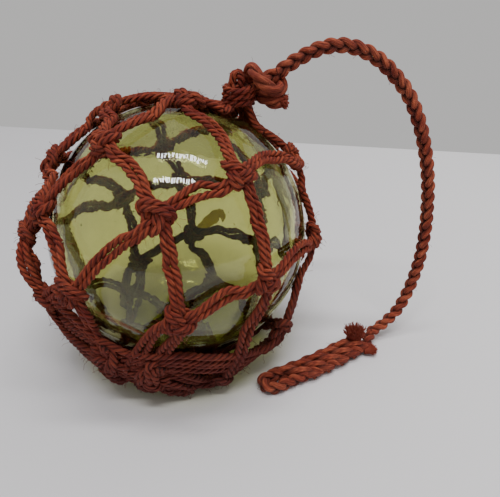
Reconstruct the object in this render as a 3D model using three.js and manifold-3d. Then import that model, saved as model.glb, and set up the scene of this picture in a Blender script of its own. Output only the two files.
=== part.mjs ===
// A glass fishing float: a blown glass ball in a hand-knotted net of doubled twine.
// A plaited tail rope is tied at the crown of the net, stands in an arch and ends in an eye splice.
// Millimetres, +Z up. The origin is on the table, under the middle of the ball.
import * as THREE from 'three';
import { mergeVertices } from 'three/addons/utils/BufferGeometryUtils.js';
import Module from 'manifold-3d';

const wasm = await Module();
wasm.setup();

const radians = THREE.MathUtils.degToRad;

// Driving dimensions, in millimetres
const glassDiameter = 125;
const clearance = 0.3;
const twineDiameter = 3.2;
const pairPitch = 2.9;
const netUnderBall = 2.4;
const knotLength = 14.5;
const knotWidth = 12;
const knotHeight = 7.8;
const legInset = 5;
const gatherHeight = 16.5;
const gatherWidth = 14;
const gatherLift = 2.3;
const crownLoopHeight = 7;
const crownLoopWidth = 6.8;
const crownLoopOffset = 3;
const loopRoot = 3;
const footWidth = 19;
const footHeight = 10;
const ropeDiameter = 6.8;
const ropeKnotDiameter = 13;
const ropeKnotLength = 12.5;
const splicePitch = 6.6;
const tuckDiameter = 5.2;
const tuftDiameter = 8;
const tuftHeight = 12;

// The net's axis leans from upright towards the tail rope, in degrees
const crownLean = 29.7;
const crownTurn = 22;
const drawRingPolar = 151;

// Knots of the net, row by row from the crown down, as they were tied by hand:
// each is [azimuth, polar angle] in degrees about the net's axis
const knotRows = [
  [[71, 51], [105, 23], [241, 27], [290, 38], [342, 32], [40, 45]],
  [[109, 59], [168, 44], [237, 61], [262, 76], [300, 60], [8, 62], [79, 80]],
  [[146, 70], [193, 76], [225, 99], [289, 86], [345, 80], [42, 88], [101, 91]],
  [[168, 100], [209, 126], [258, 112], [328, 104], [14, 100], [90, 108], [129, 110]],
  [[177, 144], [238, 141], [301, 120], [350, 130], [51, 116], [106, 129], [155, 147]],
];
// The second row has one knot more than the first: this one hangs from a single knot
const addedKnot = 3;

// The tail rope's middle line, from just past its knot to its splice
const ropePoints = [
  [51.5, 12, 141.7], [57, 12, 145.2], [65.5, 11, 149.4], [74.4, 10.5, 150.9],
  [83.2, 10, 149.4], [92.2, 9.5, 144.9], [100.7, 9, 137.6], [107.8, 8, 128.9], [114, 7, 116.8],
  [118.6, 6.5, 104], [122.2, 6, 89.9], [124.3, 5, 74.2], [125.4, 4.7, 59.4], [125, 4.4, 43.5],
  [121.8, 2.6, 27.8], [116.4, -0.2, 15.6], [109, -3, 8.4], [101.4, -7.2, 5.2],
];
// From the crown of the glass: the rope's bight, up from its knot and over the net's gathered loops
const bightPoints = [
  [14.2, -4.2, 9.8], [11, -7.1, 13.3], [8.4, -4.5, 18.5], [7, 0.9, 19.9], [5.8, 5.9, 16.9], [5.2, 6.9, 10.3],
];
// and the point where the rope leaves its knot, and the way that the gathered loops stand
const ropeKnotEnd = [19.2, 0.3, 19.3];
const gatherStands = [0.12, 0, 1];
const spliceTip = [39.2, -46.2, 0];
const spliceBow = 2.5;

const glassRadius = glassDiameter / 2;
const twineRadius = twineDiameter / 2;
const ropeRadius = ropeDiameter / 2;
const netRadius = glassRadius + clearance;
const centre = new THREE.Vector3(0, 0, netRadius + netUnderBall);

const axis = new THREE.Vector3(0, 0, 1)
  .applyAxisAngle(new THREE.Vector3(0, 1, 0), radians(crownLean))
  .applyAxisAngle(new THREE.Vector3(0, 0, 1), radians(crownTurn));
const east = new THREE.Vector3(0, 0, 1).cross(axis).normalize();
const north = axis.clone().cross(east);

// Manifold solids from closed three.js geometry, and back
function solid(geometry) {
  const bare = geometry.index ? geometry.toNonIndexed() : geometry.clone();
  bare.deleteAttribute('normal');
  bare.deleteAttribute('uv');
  const merged = mergeVertices(bare, 1e-4);
  return new wasm.Manifold(new wasm.Mesh({
    numProp: 3,
    vertProperties: new Float32Array(merged.attributes.position.array),
    triVerts: new Uint32Array(merged.index.array),
  }));
}

function geometryOf(manifold) {
  const mesh = manifold.getMesh();
  const geometry = new THREE.BufferGeometry();
  geometry.setAttribute('position', new THREE.BufferAttribute(mesh.vertProperties, 3));
  geometry.setIndex(new THREE.BufferAttribute(mesh.triVerts, 1));
  geometry.computeVertexNormals();
  return geometry;
}

const join = (solids) => solids.reduce((sum, one) => sum.add(one));

// A point of the net at an azimuth and polar angle, at a height over the middle of the ball
function onNet([azimuth, polar], height) {
  const around = east.clone().multiplyScalar(Math.cos(radians(azimuth)))
    .addScaledVector(north, Math.sin(radians(azimuth)));
  return axis.clone().multiplyScalar(Math.cos(radians(polar)))
    .addScaledVector(around, Math.sin(radians(polar)))
    .multiplyScalar(height);
}

const crown = onNet([0, 0], netRadius).add(centre);
const fromCrown = (point) => new THREE.Vector3(...point).add(crown);

function section(radius, sides) {
  const shape = new THREE.Shape();
  for (let side = 0; side < sides; side += 1) {
    const angle = (side + 0.5) / sides * Math.PI * 2;
    const point = [radius * Math.cos(angle), radius * Math.sin(angle)];
    if (side === 0) shape.moveTo(...point);
    else shape.lineTo(...point);
  }
  shape.closePath();
  return shape;
}

// Two cords side by side, with the groove between them on top and flat against the glass
function pairSection() {
  const shape = new THREE.Shape();
  const half = pairPitch / 2;
  shape.moveTo(-half - twineRadius * 0.9, twineRadius);
  shape.lineTo(-half - twineRadius * 0.55, -twineRadius);
  shape.lineTo(0, -twineRadius * 0.45);
  shape.lineTo(half + twineRadius * 0.55, -twineRadius);
  shape.lineTo(half + twineRadius * 0.9, twineRadius);
  shape.closePath();
  return shape;
}

function along(shape, points, steps, closed = false) {
  const path = new THREE.CatmullRomCurve3(points.map((point) => new THREE.Vector3(...point)), closed);
  return new THREE.ExtrudeGeometry(shape, { extrudePath: path, steps, bevelEnabled: false });
}

// Turns a piece so that its x runs along one direction and its z away from the ball
function frame(outward, ahead, position) {
  const z = outward.clone().normalize();
  const y = z.clone().cross(ahead).normalize();
  const x = y.clone().cross(z);
  return new THREE.Matrix4().makeBasis(x, y, z).setPosition(position);
}

// A doubled cord that lies on the glass from inside one knot to inside the next
const shortLeg = 31;
const longLeg = 50;
function leg(from, to, fromHeight = netRadius + knotHeight * 0.4, toHeight = fromHeight) {
  const start = onNet(from, 1);
  const end = onNet(to, 1);
  const length = start.angleTo(end) * netRadius;
  const steps = 1 + (length > shortLeg) + (length > longLeg);
  const angle = (length - 2 * legInset) / netRadius;
  const chordDip = netRadius * (1 - Math.cos(angle / steps / 2));
  const lying = netRadius + twineRadius + chordDip;
  const heights = [fromHeight, ...Array(steps - 1).fill(lying), toHeight];
  const points = heights.map((height, index) => {
    const turn = angle * (index / steps - 0.5);
    return [height * Math.sin(turn), 0, height * Math.cos(turn)];
  });
  const geometry = along(pairSection(), points, steps);
  return solid(geometry.applyMatrix4(frame(start.clone().add(end), end.clone().sub(start), centre)));
}

// Two tight turns of cord side by side, with their axis along x
function turns(length, width, height, sides, endWidth = 0) {
  const rounded = [[0.46, -0.32], [0.4, 0], [0.46, 0.32]].map(([out, up]) => [out * width, up * length]);
  const end = endWidth > 0 ? [endWidth / 2] : [];
  const profile = [[0, -length / 2], ...end.map((out) => [out, -length / 2]), ...rounded,
    ...end.map((out) => [out, length / 2]), [0, length / 2]];
  const points = profile.map(([out, up]) => new THREE.Vector2(out, up));
  const geometry = new THREE.LatheGeometry(points, sides);
  return geometry.rotateZ(-Math.PI / 2).scale(1, 1, height / width);
}

// A knot of the net, drawn up hard against the glass
function netKnot(place, length = knotLength, width = knotWidth, height = knotHeight) {
  const outward = onNet(place, 1);
  const down = outward.clone().multiplyScalar(outward.dot(axis)).sub(axis);
  const position = centre.clone().addScaledVector(outward, netRadius + height / 2);
  return solid(turns(length, width, height, 5).applyMatrix4(frame(outward, down, position)));
}

// The top loops of the net, gathered upright on the crown, with one bight left standing
function gatheredLoops() {
  const stands = new THREE.Vector3(...gatherStands).normalize();
  const middle = crown.clone().addScaledVector(stands, gatherHeight / 2 + gatherLift);
  const bundle = turns(gatherHeight, gatherWidth, gatherWidth, 7, gatherWidth * 0.6);
  const across = new THREE.Vector3(0, 1, 0);
  const top = middle.clone().addScaledVector(stands, gatherHeight / 2 - 1)
    .add(new THREE.Vector3(-crownLoopOffset, 0, 0));
  const half = crownLoopWidth / 2;
  const loopTop = crownLoopHeight - loopRoot;
  const shoulder = [half * 0.76, 0, loopTop * 0.6];
  const loop = [
    [-half, 0, -loopRoot], [-shoulder[0], 0, shoulder[2]], [0, 0, loopTop], shoulder, [half, 0, -loopRoot],
  ];
  return solid(bundle.applyMatrix4(frame(across, stands, middle)))
    .add(solid(along(pairSection(), loop, 4).applyMatrix4(frame(stands, across, top))));
}

function buildGlass() {
  return new THREE.SphereGeometry(glassRadius, 28, 16)
    .rotateX(Math.PI / 2)
    .translate(centre.x, centre.y, centre.z);
}

// The knot that ties the rope: two turns round its own standing part
const ropePath = new THREE.CatmullRomCurve3(
  [fromCrown(ropeKnotEnd), ...ropePoints.map((point) => new THREE.Vector3(...point))],
);
function ropeTurns(margin) {
  const leaves = ropePath.getTangent(0);
  const middle = ropePath.getPoint(0).addScaledVector(leaves, -clearance - ropeKnotLength / 2);
  const width = ropeKnotDiameter + margin * 2;
  const barrel = turns(ropeKnotLength + margin * 2, width, width, 8, ropeDiameter * 1.1);
  return solid(barrel.applyMatrix4(frame(new THREE.Vector3(0, 1, 0), leaves, middle)));
}

function bight(margin) {
  const points = bightPoints.map((point) => fromCrown(point).toArray());
  return solid(along(section(ropeRadius + margin, 8), points, 7));
}

function buildRopeKnot() {
  return geometryOf(join([ropeTurns(0), bight(0)]));
}

function buildNet() {
  const pieces = [];
  const top = [0, 0];
  const foot = [0, 180];
  knotRows.forEach((row, depth) => {
    const above = knotRows[depth - 1];
    row.forEach((knot, index) => {
      pieces.push(netKnot(knot));
      if (depth === 0) {
        pieces.push(leg(top, knot, netRadius + gatherHeight * 0.3, netRadius + knotHeight * 0.4));
        return;
      }
      const grew = row.length > above.length;
      const holders = [index, index + 1]
        .map((column) => (grew && column > addedKnot ? column - 1 : column) % above.length);
      for (const holder of new Set(holders)) pieces.push(leg(above[holder], knot));
    });
  });
  for (const knot of knotRows.at(-1)) {
    pieces.push(leg(foot, knot, netRadius + footHeight * 0.4, netRadius + knotHeight * 0.4));
  }
  pieces.push(drawRing());
  pieces.push(netKnot(foot, footWidth, footWidth, footHeight));
  const net = join([...pieces, gatheredLoops()]).subtract(ropeTurns(clearance)).subtract(bight(clearance));
  return geometryOf(net.subtract(belowTable()));
}

// The doubled cord that draws the bottom of the net together
function drawRing() {
  const count = 20;
  const height = netRadius + twineRadius + 0.8;
  const points = [];
  for (let index = 0; index < count; index += 1) {
    points.push(onNet([index / count * 360, drawRingPolar], height).add(centre).toArray());
  }
  return solid(along(section(twineRadius * 1.25, 6), points, count, true));
}

function belowTable() {
  const size = glassDiameter * 4;
  return solid(new THREE.BoxGeometry(size, size, size).translate(0, 0, -size / 2));
}

function buildTailRope() {
  const steps = Math.round(ropePath.getLength() / (ropeDiameter * 2));
  return along(section(ropeRadius, 8), ropePath.points.map((point) => point.toArray()), steps);
}

// The rope's end, doubled back on itself round a closed eye and tucked into its own lay
function buildEyeSplice() {
  const leaving = ropePath.getTangent(1);
  const start = ropePath.getPoint(1).addScaledVector(leaving, clearance);
  const ahead = new THREE.Vector3(...spliceTip).sub(start).setZ(0);
  const length = ahead.length() - ropeRadius;
  ahead.normalize();
  const side = new THREE.Vector3(0, 0, 1).cross(ahead).normalize();
  const lying = ropeRadius - 0.1;
  const place = (run, across, height = lying) => {
    const bow = spliceBow * Math.sin(Math.PI * run / length);
    const point = start.clone().addScaledVector(ahead, run).addScaledVector(side, across + bow);
    return [point.x, point.y, height];
  };
  const lane = splicePitch / 2;
  const standing = [[14, lane], [28, lane], [42, lane], [length, lane]].map((at) => place(...at));
  standing.unshift(start.toArray(), start.clone().addScaledVector(leaving, ropeRadius).toArray());
  const returning = [[9, -lane * 0.8], [16, -lane], [28, -lane], [42, -lane], [length, -lane]];
  const ropeSection = section(ropeRadius, 8);
  const pieces = [standing, returning.map((at) => place(...at))]
    .map((points) => solid(along(ropeSection, points, 5)));

  const eye = new THREE.SphereGeometry(1, 8, 6).rotateX(Math.PI / 2)
    .scale(ropeRadius, lane + ropeRadius, ropeRadius);
  const eyeMiddle = new THREE.Vector3(...place(length, 0));
  pieces.push(solid(eye.applyMatrix4(frame(new THREE.Vector3(0, 0, 1), ahead, eyeMiddle))));

  // Strands tucked over each lane in turn
  const tuckLength = splicePitch * 1.5;
  for (let tuck = 0; tuck < 3; tuck += 1) {
    const way = tuck % 2 === 0 ? 1 : -1;
    const strand = new THREE.CapsuleGeometry(tuckDiameter / 2, tuckLength, 1, 5)
      .rotateZ(way * radians(35) - Math.PI / 2);
    const middle = new THREE.Vector3(...place(20 + tuck * 14, way * lane * 0.4, lying + ropeRadius * 0.55));
    pieces.push(solid(strand.applyMatrix4(frame(new THREE.Vector3(0, 0, 1), ahead, middle))));
  }

  // The frayed ends of the strands: one stands up as a tuft, one lies cut short beside it
  const root = new THREE.Vector3(...place(10, 0.8, lying));
  const tuftProfile = [[0, 0], [1.6, 0], [2.4, 5], [tuftDiameter / 2, tuftHeight * 0.8], [0, tuftHeight]];
  const tuft = new THREE.LatheGeometry(tuftProfile.map(([out, up]) => new THREE.Vector2(out, up)), 7);
  pieces.push(solid(tuft.rotateX(Math.PI / 2 - 0.25).rotateY(-0.15).translate(root.x, root.y, root.z)));
  const cutEnd = [place(12, -lane, lying), place(6, -lane * 1.7, lying), place(1.5, -lane * 2.3, lying)];
  pieces.push(solid(along(section(tuckDiameter * 0.36, 6), cutEnd, 2)));
  return geometryOf(join(pieces).subtract(belowTable()));
}

const colours = { glass: 0xa3a873, net: 0x9c3b24, rope: 0xa5452c };

function finished(name, geometry, color, roughness, metalness = 0) {
  const mesh = new THREE.Mesh(geometry, new THREE.MeshStandardMaterial({ color, roughness, metalness }));
  mesh.name = name;
  return mesh;
}

const float = new THREE.Group();
float.add(finished('glass_ball', buildGlass(), colours.glass, 0.08));
float.add(finished('net', buildNet(), colours.net, 0.9));
float.add(finished('rope_knot', buildRopeKnot(), colours.rope, 0.9));
float.add(finished('tail_rope', buildTailRope(), colours.rope, 0.9));
float.add(finished('eye_splice', buildEyeSplice(), colours.rope, 0.9));

export default float;
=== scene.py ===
import math
import random

import bmesh
import bpy
import numpy as np
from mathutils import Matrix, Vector, noise


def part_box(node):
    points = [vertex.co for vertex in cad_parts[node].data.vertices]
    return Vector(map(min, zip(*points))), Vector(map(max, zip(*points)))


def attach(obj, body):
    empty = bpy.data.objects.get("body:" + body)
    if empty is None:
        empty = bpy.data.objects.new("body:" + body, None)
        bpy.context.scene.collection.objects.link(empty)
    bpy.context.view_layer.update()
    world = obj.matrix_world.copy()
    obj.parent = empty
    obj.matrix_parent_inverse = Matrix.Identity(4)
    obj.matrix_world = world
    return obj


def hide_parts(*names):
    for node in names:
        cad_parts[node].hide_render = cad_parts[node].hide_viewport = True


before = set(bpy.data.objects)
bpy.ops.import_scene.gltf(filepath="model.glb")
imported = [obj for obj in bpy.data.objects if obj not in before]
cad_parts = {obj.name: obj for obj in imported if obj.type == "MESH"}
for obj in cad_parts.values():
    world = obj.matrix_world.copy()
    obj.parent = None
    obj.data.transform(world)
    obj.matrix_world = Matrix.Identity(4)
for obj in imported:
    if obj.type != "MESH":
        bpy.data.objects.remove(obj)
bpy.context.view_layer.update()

# The stage: a pale table, with a grey room beyond its edge.
# The camera looks down on the float as a person at the table does.
MM = 0.001


def linear(hex_colour):
    """An sRGB hex colour as linear values, with alpha."""
    channels = [int(hex_colour[k:k + 2], 16) / 255 for k in (1, 3, 5)]
    return (*[c / 12.92 if c <= 0.04045 else ((c + 0.055) / 1.055) ** 2.4 for c in channels], 1.0)


def add(tree, kind, settings=None, links=None, out=None):
    """Adds a node with its settings, and links or sets its inputs by name or number.
    Gives the output that out names or numbers, or else the node."""
    node = tree.nodes.new(kind)
    for name, value in (settings or {}).items():
        setattr(node, name, value)
    for key, value in (links or {}).items():
        socket = node.inputs[key]
        if isinstance(value, bpy.types.NodeSocket):
            tree.links.new(value, socket)
        else:
            socket.default_value = value
    return node if out is None else node.outputs[out]


def new_material(name):
    material = bpy.data.materials.new(name)
    material.use_nodes = True
    material.node_tree.nodes.clear()
    return material, material.node_tree


def finish_with(tree, looks):
    """Closes a material: its looks go on its shader's own sockets."""
    shader = add(tree, "ShaderNodeBsdfPrincipled", links=looks, out="BSDF")
    add(tree, "ShaderNodeOutputMaterial", links={"Surface": shader})


def new_object(name, data, *materials):
    piece = bpy.data.objects.new(name, data)
    bpy.context.scene.collection.objects.link(piece)
    for material in materials:
        data.materials.append(material)
    return piece


camera_place = (35.2, -220.4, 182.0)
camera_tilt = 30
lens_to_sensor = 495 / 500
camera_data = bpy.data.cameras.new("camera")
camera_data.sensor_width = 36
camera_data.lens = camera_data.sensor_width * lens_to_sensor
camera_data.clip_start = 0.01
camera = new_object("camera", camera_data)
camera.location = Vector(camera_place) * MM
camera.rotation_euler = (math.radians(90 - camera_tilt), 0, 0)
bpy.context.scene.camera = camera

# Painted board: pale grey with a faint mottle and a low sheen, and painted light that makes it lighter to
# the right.
# Painted olive light on the board under the ball stands in for the light that the glass throws there.
table_paint, tree = new_material("painted board")
place = add(tree, "ShaderNodeTexCoord", out="Object")
mottle = add(tree, "ShaderNodeTexNoise", links={"Vector": place, "Scale": 9.0, "Detail": 3.0}, out="Fac")
to_right = add(tree, "ShaderNodeSeparateXYZ", links={"Vector": place}, out="X")
# Painted light: the board is mixed lighter towards the right.
lighter = add(tree, "ShaderNodeMapRange", links={
    "Value": to_right, "From Min": -0.1, "From Max": 0.25}, out=0)
from_ball = add(tree, "ShaderNodeVectorMath", {"operation": "LENGTH"}, {0: place}, "Value")
# Painted light: an olive pool on the board round the ball's foot, in place of light thrown through the
# glass.
painted_olive_light = add(tree, "ShaderNodeMapRange", {"interpolation_type": "SMOOTHSTEP"}, {
    "Value": from_ball, "From Min": 0.02, "From Max": 0.066, "To Min": 0.85, "To Max": 0.0}, 0)
tone = linear("#DDDBDF")
for share, colour in ((mottle, "#E4E3E6"), (lighter, "#F7F5F7"), (painted_olive_light, "#D9E04E")):
    tone = add(tree, "ShaderNodeMix", {"data_type": "RGBA"}, {
        "Factor": share, "A": tone, "B": linear(colour)}, "Result")
finish_with(tree, {"Base Color": tone, "Roughness": 0.5})

table_half_width, table_front, table_back_left, table_back_right = 620, -700, 470, 245
table_height = -0.2
corners = [(-table_half_width, table_front), (table_half_width, table_front),
           (table_half_width, table_back_right), (-table_half_width, table_back_left)]
table_mesh = bpy.data.meshes.new("table")
table_mesh.from_pydata([(x * MM, y * MM, table_height * MM) for x, y in corners], [], [(0, 1, 2, 3)])
table = new_object("table", table_mesh, table_paint)

# The room is lighter above and behind the table than on the near side
world = bpy.data.worlds.new("room")
world.use_nodes = True
tree = world.node_tree
background = tree.nodes["Background"]
background.inputs["Color"].default_value = linear("#B4B3B2")
way = add(tree, "ShaderNodeTexCoord", out="Generated")
backwards = add(tree, "ShaderNodeSeparateXYZ", links={"Vector": way}, out="Y")
strength = add(tree, "ShaderNodeMapRange", links={
    "Value": backwards, "From Min": -0.95, "From Max": -0.1, "To Min": 0.5, "To Max": 1.2}, out=0)
tree.links.new(strength, background.inputs["Strength"])
bpy.context.scene.world = world


def area_light(name, place, aim, size, power):
    light = bpy.data.lights.new(name, "AREA")
    light.shape = "RECTANGLE"
    light.size, light.size_y = (side * MM for side in size)
    light.energy = power
    lamp = new_object(name, light)
    lamp.location = Vector(place) * MM
    lamp.rotation_euler = (Vector(aim) - Vector(place)).to_track_quat("-Z", "Y").to_euler()


# Two tube lights on the ceiling, behind louvres that cut them into cells;
# the glass shows each as a broken bright band
louvre_cells, cell_opening, row_waver = 15, 0.62, 12
for name, (x, y, height), length, width, power in (
        ("back_tubes", (170, 0, 1560), 980, 130, 9), ("front_tubes", (60, -560, 1480), 860, 120, 10)):
    for cell in range(louvre_cells):
        along_x = x + length * ((cell + 0.5) / louvre_cells - 0.5)
        across_y = y + row_waver * math.sin(5 * cell)
        area_light(f"{name}_{cell}", (along_x, across_y, height), (along_x, across_y, 0),
                   (length / louvre_cells * cell_opening, width), power / louvre_cells)

# Net twine and rope: sisal spun into strands, laid or plaited, and dyed rust red.
# The fibre is dull and hairy, with painted shade in the grooves between its strands, and the net's lower
# meshes are darker near the table.
FIBRE_WIDTH = 0.22


def dyed_sisal(name, dark_fibre, light_fibre, low_colour=None):
    """Dyed fibre that runs along each strand, with painted shade in its grooves; a low colour darkens what
    lies near the table.
    """
    material, tree = new_material(name)
    grain = add(tree, "ShaderNodeAttribute", {"attribute_name": "grain"}, out="Vector")
    crest = add(tree, "ShaderNodeAttribute", {"attribute_name": "crest"}, out="Fac")
    place = add(tree, "ShaderNodeTexCoord", out="Object")
    height = add(tree, "ShaderNodeSeparateXYZ", links={"Vector": place}, out="Z")
    streaks = []
    for width, detail in ((FIBRE_WIDTH, 4.0), (FIBRE_WIDTH * 4, 2.0)):
        stretched = add(tree, "ShaderNodeMapping", links={
            "Vector": grain, "Scale": (1 / width, 1 / width, 0.2 / width)}, out=0)
        streaks.append(add(tree, "ShaderNodeTexNoise", links={
            "Vector": stretched, "Scale": 0.5, "Detail": detail, "Roughness": 0.65}, out="Fac"))
    fibres, bundles = streaks
    patches = add(tree, "ShaderNodeTexNoise", links={
        "Vector": place, "Scale": 90.0, "Detail": 3.0, "Roughness": 0.6}, out="Fac")
    # The last coat is painted shade: it darkens each strand where it dips towards the cord's core, in the
    # grooves between strands.
    coats = [(fibres, 0.3, 0.7, 0, 1, light_fibre, "MIX"), (bundles, 0.4, 0.56, 0.75, 0, dark_fibre, "MIX"),
             (patches, 0.42, 0.7, 0, 1, "#C98A78", "MULTIPLY"), (crest, 0.45, 0.9, 1, 0, "#38100A", "MIX")]
    if low_colour:
        coats.insert(3, (height, 0.0, 0.075, 1, 0, low_colour, "MIX"))
    tone = linear(dark_fibre)
    for pattern, start, stop, share_at_start, share_at_stop, colour, blend in coats:
        share = add(tree, "ShaderNodeMapRange", links={
            "Value": pattern, "From Min": start, "From Max": stop,
            "To Min": share_at_start, "To Max": share_at_stop}, out=0)
        tone = add(tree, "ShaderNodeMix", {"data_type": "RGBA", "blend_type": blend}, {
            "Factor": share, "A": tone, "B": linear(colour)}, "Result")
    yarns = add(tree, "ShaderNodeBump", links={
        "Height": bundles, "Strength": 1.0, "Distance": 0.0012}, out=0)
    bump = add(tree, "ShaderNodeBump", links={
        "Height": fibres, "Strength": 0.9, "Distance": 0.0005, "Normal": yarns}, out=0)
    finish_with(tree, {"Base Color": tone, "Roughness": 0.88, "Normal": bump})
    return material


twine_red = dyed_sisal("dyed sisal twine", "#742312", "#C05A34", low_colour="#5E1F18")
rope_red = dyed_sisal("dyed sisal rope", "#74281A", "#CC6A46")


def smooth_line(points, step=0.85):
    """A Catmull-Rom line through the points, cut to even steps in millimetres."""
    p = np.array(points, float)
    p = np.vstack([2 * p[0] - p[1], p, 2 * p[-1] - p[-2]])
    t = np.linspace(0, 1, 24, endpoint=False)[:, None]
    spans = [0.5 * (2 * b + (c - a) * t + (2 * a - 5 * b + 4 * c - d) * t**2
                    + (3 * b - a - 3 * c + d) * t**3)
             for a, b, c, d in zip(p, p[1:], p[2:], p[3:])]
    return even(np.vstack([*spans, p[-2][None]]), step=step)


def run_of(line):
    return np.concatenate([[0], np.cumsum(np.linalg.norm(np.diff(line, axis=0), axis=1))])


def even(line, step=None, count=None):
    run = run_of(line)
    count = count or max(2, round(run[-1] / step) + 1)
    s = np.linspace(0, run[-1], count)
    return np.column_stack([np.interp(s, run, line[:, k]) for k in range(3)])


def unit(vectors):
    return vectors / (np.linalg.norm(vectors, axis=-1, keepdims=True) + 1e-12)


def turned_frames(line, start_side, end_side):
    """Sides that follow a line without twist, eased to meet the wanted side at its end."""
    tangent = unit(np.gradient(line, axis=0))
    side = np.zeros_like(line)
    side[0] = unit(start_side - np.dot(start_side, tangent[0]) * tangent[0])
    for k in range(1, len(line)):
        carried = side[k - 1] - np.dot(side[k - 1], tangent[k]) * tangent[k]
        side[k] = unit(carried)
    up = np.cross(side, tangent)
    missing = math.atan2(np.dot(end_side, up[-1]), np.dot(end_side, side[-1]))
    turn = missing * (run_of(line) / run_of(line)[-1])[:, None]
    return side * np.cos(turn) + up * np.sin(turn), up * np.cos(turn) - side * np.sin(turn)


def lay_cord(line, lay, start_side, end_side=None, strands=3, thick=1.0):
    """A cord's line with its frame and the turn of its strands, for strands_tree.
    Its twist ends on a whole strand, so that a cord that goes on from it meets it."""
    end_side = start_side if end_side is None else end_side
    side, up = turned_frames(line, np.array(start_side, float), np.array(end_side, float))
    run = run_of(line)
    steps = max(1, round(run[-1] * strands / lay))
    turn = run / run[-1] * steps / strands * 2 * math.pi
    thick = np.full(len(line), 1.0) * thick
    return {"line": line, "side": side * thick[:, None], "up": up * thick[:, None],
            "turn": turn, "thick": thick}


cord_fields = {"side": "FLOAT_VECTOR", "up": "FLOAT_VECTOR", "turn": "FLOAT", "thick": "FLOAT"}


def lines_mesh(name, cords):
    """One mesh of bare lines that carries what strands_tree reads at each point."""
    mesh = bpy.data.meshes.new(name)
    points = np.vstack([cord["line"] for cord in cords]) * MM
    edges, start = [], 0
    for cord in cords:
        count = len(cord["line"])
        edges += [(start + k, start + k + 1) for k in range(count - 1)]
        start += count
    mesh.from_pydata(points.tolist(), edges, [])
    for key, kind in cord_fields.items():
        field = "vector" if kind == "FLOAT_VECTOR" else "value"
        values = np.concatenate([cord[key] for cord in cords]).astype(np.float32)
        mesh.attributes.new(key, kind, "POINT").data.foreach_set(field, values.ravel())
    return mesh


def new_tree(name, sizes):
    """A node tree with named inputs for its sizes, and the sockets that they come in by."""
    tree = bpy.data.node_groups.new(name, "GeometryNodeTree")
    for size, kind, value in (("Geometry", "Geometry", None), *sizes, ("Material", "Material", None)):
        socket = tree.interface.new_socket(size, in_out="INPUT", socket_type="NodeSocket" + kind)
        if value is not None:
            socket.default_value = value
    tree.interface.new_socket("Geometry", in_out="OUTPUT", socket_type="NodeSocketGeometry")
    return tree, add(tree, "NodeGroupInput").outputs


def close_tree(tree, made, material):
    """Ends a tree in plain mesh with its material on it."""
    whole = add(tree, "GeometryNodeRealizeInstances", links={"Geometry": made}, out=0)
    dressed = add(tree, "GeometryNodeSetMaterial", links={"Geometry": whole, "Material": material}, out=0)
    add(tree, "NodeGroupOutput", links={"Geometry": dressed})
    return tree


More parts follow.
